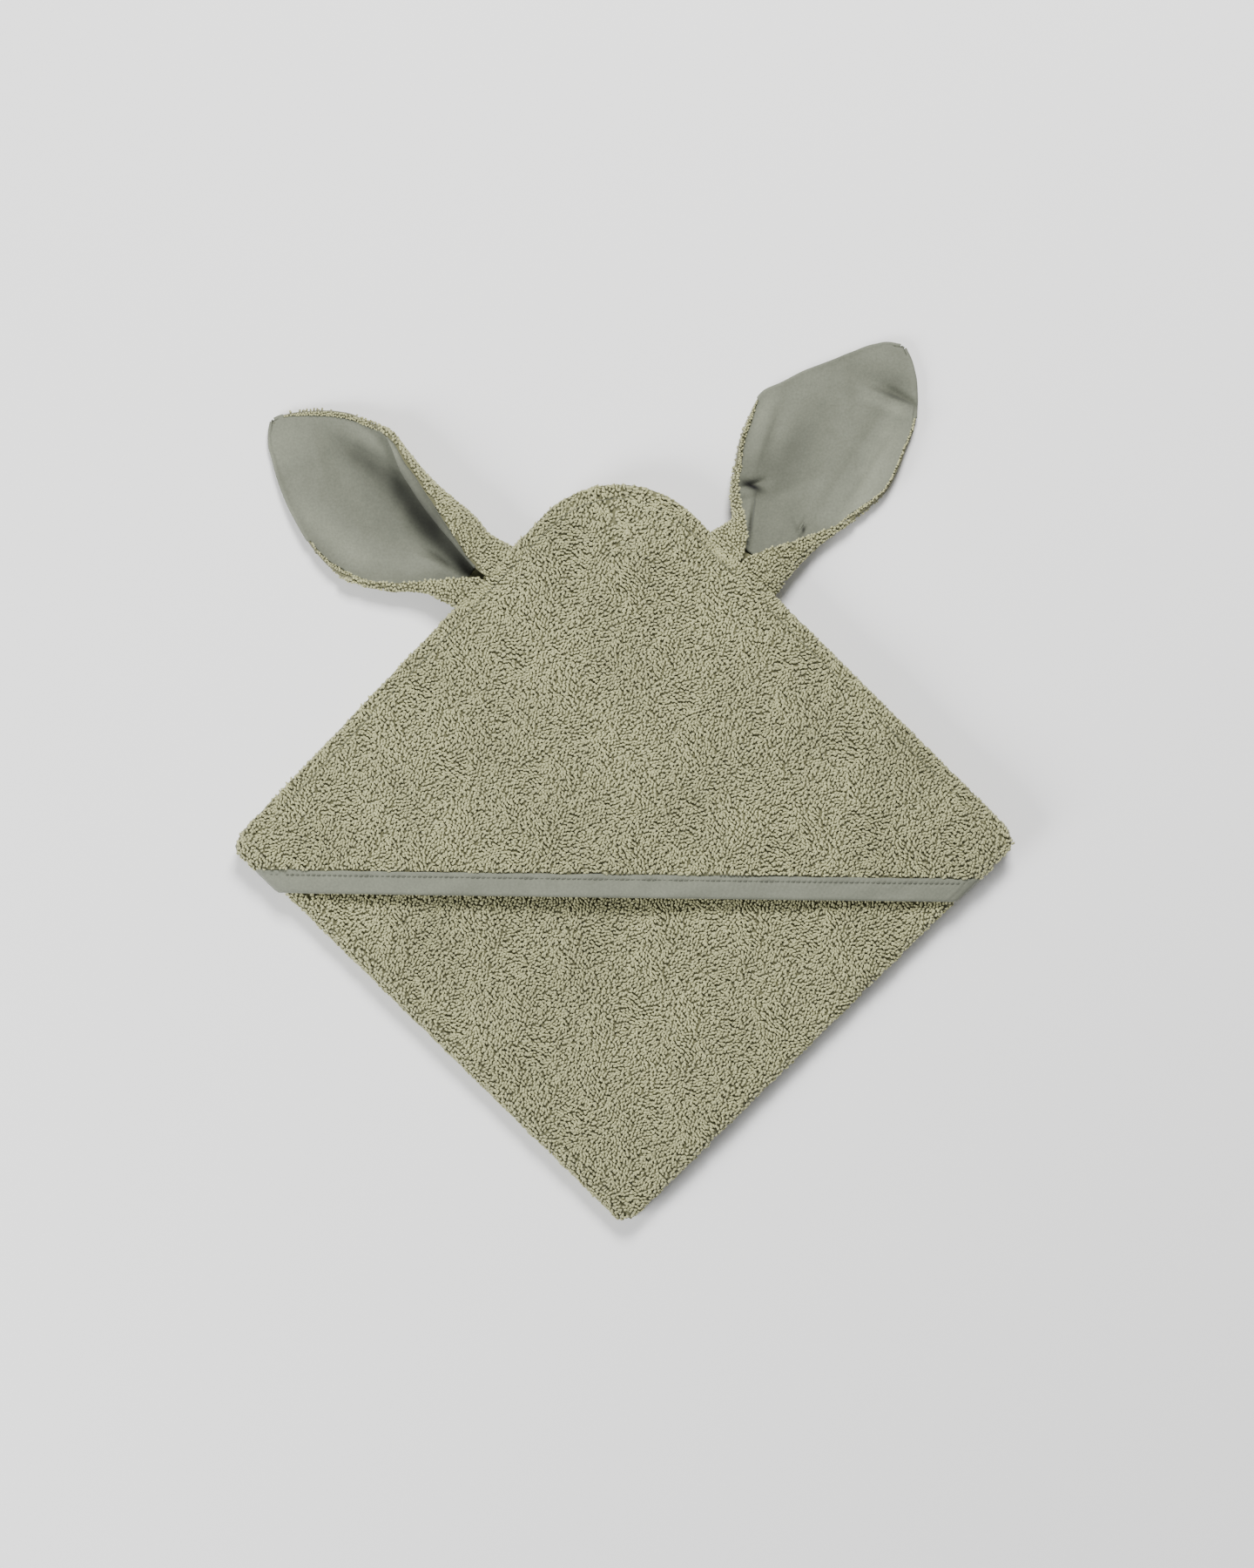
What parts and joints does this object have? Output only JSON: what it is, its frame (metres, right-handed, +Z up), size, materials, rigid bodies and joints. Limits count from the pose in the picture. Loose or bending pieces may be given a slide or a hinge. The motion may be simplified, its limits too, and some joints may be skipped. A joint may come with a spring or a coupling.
{
  "type": "hooded baby towel",
  "caption": "Hooded baby towel in terry cloth, folded square and laid flat, with a bound hood and two lined rabbit-like ears.",
  "frame": {"origin": "middle of the folded diamond, on the flat underside that the towel rests on", "axes": "+Z up, out of the hood's outer side; +Y towards the hooded corner; +X along the mouth of the hood, to the right when the hooded corner is at the top"},
  "size_m": [0.5317, 0.5994, 0.0329],
  "materials": {
    "terry": "looped sage-green terry",
    "lining": "plain-woven grey-green cotton",
    "binding": "plain-woven grey-green cotton strip",
    "thread": "matte sewing thread",
    "label": "blank woven satin"
  },
  "bodies": {
    "lower_half": {"towel_back_leaf": "terry", "back_hem_stitch": "thread", "care_label": "label"},
    "upper_half": {"towel_front_leaf": "terry", "front_hem_stitch": "thread", "hood_panel": "terry", "hood_binding": "binding", "binding_topstitch": "thread", "hood_edge_stitch": "thread"},
    "left_ear": {"left_ear_back": "terry", "left_ear_lining": "lining", "left_ear_seam": "thread"},
    "right_ear": {"right_ear_back": "terry", "right_ear_lining": "lining", "right_ear_seam": "thread"}
  },
  "joints": [
    {"name": "fold_open", "type": "hinge", "parent": "lower_half", "child": "upper_half", "pos_m": [-0.13423, -0.13848, 0.0092], "axis": [0.7143, -0.6998, 0], "range_deg": [0, 170]},
    {"name": "left_ear_flop", "type": "hinge", "parent": "upper_half", "child": "left_ear", "pos_m": [-0.09545, 0.17657, 0.0234], "axis": [0.6899, 0.7239, 0], "range_deg": [0, 120]},
    {"name": "right_ear_flop", "type": "hinge", "parent": "upper_half", "child": "right_ear", "pos_m": [0.08296, 0.18414, 0.0234], "axis": [0.7097, -0.7045, 0], "range_deg": [0, 120]}
  ]
}
